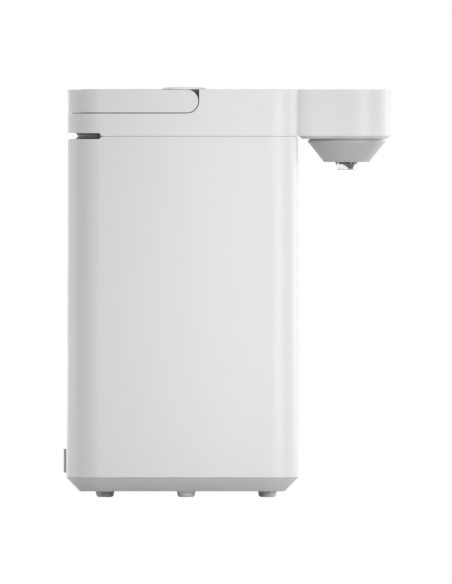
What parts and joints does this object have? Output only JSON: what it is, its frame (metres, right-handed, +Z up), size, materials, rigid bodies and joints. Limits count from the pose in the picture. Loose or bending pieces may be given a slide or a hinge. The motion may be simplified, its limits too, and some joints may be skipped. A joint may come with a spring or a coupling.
{
  "type": "electric thermo pot",
  "caption": "Electric thermo pot with a rounded-square body, hinged lid with release button, folding carry handle and a pumped spout on an overhanging head.",
  "frame": {"origin": "on the floor, under the middle of the object's box (the body's own centre is 38.05 mm behind it)", "axes": "+X towards the spout, +Y to the left side as seen from behind the spout, +Z up"},
  "size_m": [0.2778, 0.197, 0.3486],
  "materials": {
    "shell_plastic": "fine satin, pale grey white",
    "housing_plastic": "fine satin, pale grey white",
    "lid_plastic": "fine satin, pale grey white",
    "handle_plastic": "fine satin, pale grey white",
    "head_plastic": "fine satin, pale grey white",
    "base_plastic": "satin, light grey",
    "tray_plastic": "satin, pale grey",
    "cowl_plastic": "satin, mid grey",
    "vent_plastic": "matt, dark grey",
    "inlet_plastic": "satin, mid grey",
    "inner_plastic": "satin, white",
    "frame_plastic": "matt, grey",
    "black_plastic": "satin, black",
    "latch_plastic": "smooth acetal, light grey",
    "panel_plastic": "gloss, light grey",
    "key_plastic": "gloss, white",
    "button_plastic": "satin gloss, pale grey",
    "clear_plastic": "clear moulded",
    "display_glass": "black glass",
    "contact_brass": "bright",
    "foot_rubber": "matt, grey",
    "seal_silicone": "matt, pale grey",
    "hose_silicone": "satin, translucent white",
    "wire_sleeve": "matt, red",
    "foam": "closed-cell foam",
    "tank_steel": "brushed",
    "steel_parts": "turned",
    "heater_aluminium": "cast",
    "circuit_board": "solder mask, green"
  },
  "bodies": {
    "pot": {"outer_shell": "shell_plastic", "base_pan": "base_plastic", "foot_front": "foot_rubber", "foot_rear": "foot_rubber", "foot_left": "foot_rubber", "foot_right": "foot_rubber", "power_inlet": "inlet_plastic", "inlet_contacts": "contact_brass", "top_housing": "housing_plastic", "vent_channel": "vent_plastic", "handle_pin_left": "steel_parts", "handle_pin_right": "steel_parts", "lid_well": "inner_plastic", "hinge_pin": "steel_parts", "head_cover": "head_plastic", "head_tray": "tray_plastic", "control_panel": "panel_plastic", "display_window": "display_glass", "control_board": "circuit_board", "head_screws": "steel_parts", "nozzle_cowl": "cowl_plastic", "outlet_nozzle": "clear_plastic", "flow_insert": "black_plastic", "inner_tank": "tank_steel", "tank_gasket": "seal_silicone", "insulation_jacket": "foam", "tank_cradle": "frame_plastic", "heater_plate": "heater_aluminium", "thermal_cutout": "black_plastic", "temperature_sensor": "steel_parts", "pump_body": "frame_plastic", "pump_motor": "steel_parts", "pump_bracket": "frame_plastic", "suction_coupler": "hose_silicone", "delivery_hose": "hose_silicone", "riser_tube": "hose_silicone", "spout_hose": "hose_silicone", "power_board": "circuit_board", "wiring_harness": "wire_sleeve", "base_screws": "steel_parts"},
    "handle": {"handle": "handle_plastic"},
    "lid": {"lid_outer": "lid_plastic", "lid_inner": "inner_plastic", "lid_seal": "seal_silicone", "steam_valve": "seal_silicone", "button_spring": "steel_parts", "latch_spring": "steel_parts"},
    "button": {"release_button": "button_plastic"},
    "latch": {"lid_latch": "latch_plastic"},
    "pouring_key": {"pouring_key": "key_plastic"},
    "left_key": {"left_key": "key_plastic"},
    "right_key": {"right_key": "key_plastic"},
    "rotor": {"motor_shaft": "steel_parts", "pump_impeller": "inner_plastic"}
  },
  "joints": [
    {"name": "handle_hinge", "type": "hinge", "parent": "pot", "child": "handle", "pos_m": [-0.03415, 0, 0.3365], "axis": [0, 1, 0], "range_deg": [0, 90]},
    {"name": "lid_hinge", "type": "hinge", "parent": "pot", "child": "lid", "pos_m": [-0.11665, 0, 0.3425], "axis": [0, -1, 0], "range_deg": [0, 85]},
    {"name": "button_press", "type": "slide", "parent": "lid", "child": "button", "axis": [0, 0, -1], "range_m": [0, 0.002], "stiffness_N_per_m": 600, "springref_m": -0.002, "deforming": ["button_spring"]},
    {"name": "latch_slide", "type": "slide", "parent": "lid", "child": "latch", "axis": [-1, 0, 0], "range_m": [0, 0.003], "deforming": ["latch_spring"]},
    {"name": "pouring_key_press", "type": "slide", "parent": "pot", "child": "pouring_key", "axis": [0, 0, -1], "range_m": [0, 0.0008], "stiffness_N_per_m": 900, "springref_m": -0.001},
    {"name": "left_key_press", "type": "slide", "parent": "pot", "child": "left_key", "axis": [0, 0, -1], "range_m": [0, 0.0008], "stiffness_N_per_m": 900, "springref_m": -0.001},
    {"name": "right_key_press", "type": "slide", "parent": "pot", "child": "right_key", "axis": [0, 0, -1], "range_m": [0, 0.0008], "stiffness_N_per_m": 900, "springref_m": -0.001},
    {"name": "rotor_spin", "type": "hinge", "parent": "pot", "child": "rotor", "pos_m": [0.00695, -0.035, 0.03], "axis": [0, 0, 1], "continuous": true}
  ],
  "couplings": [
    {"joint": "latch_slide", "follows": "button_press", "ratio": 1.5}
  ]
}
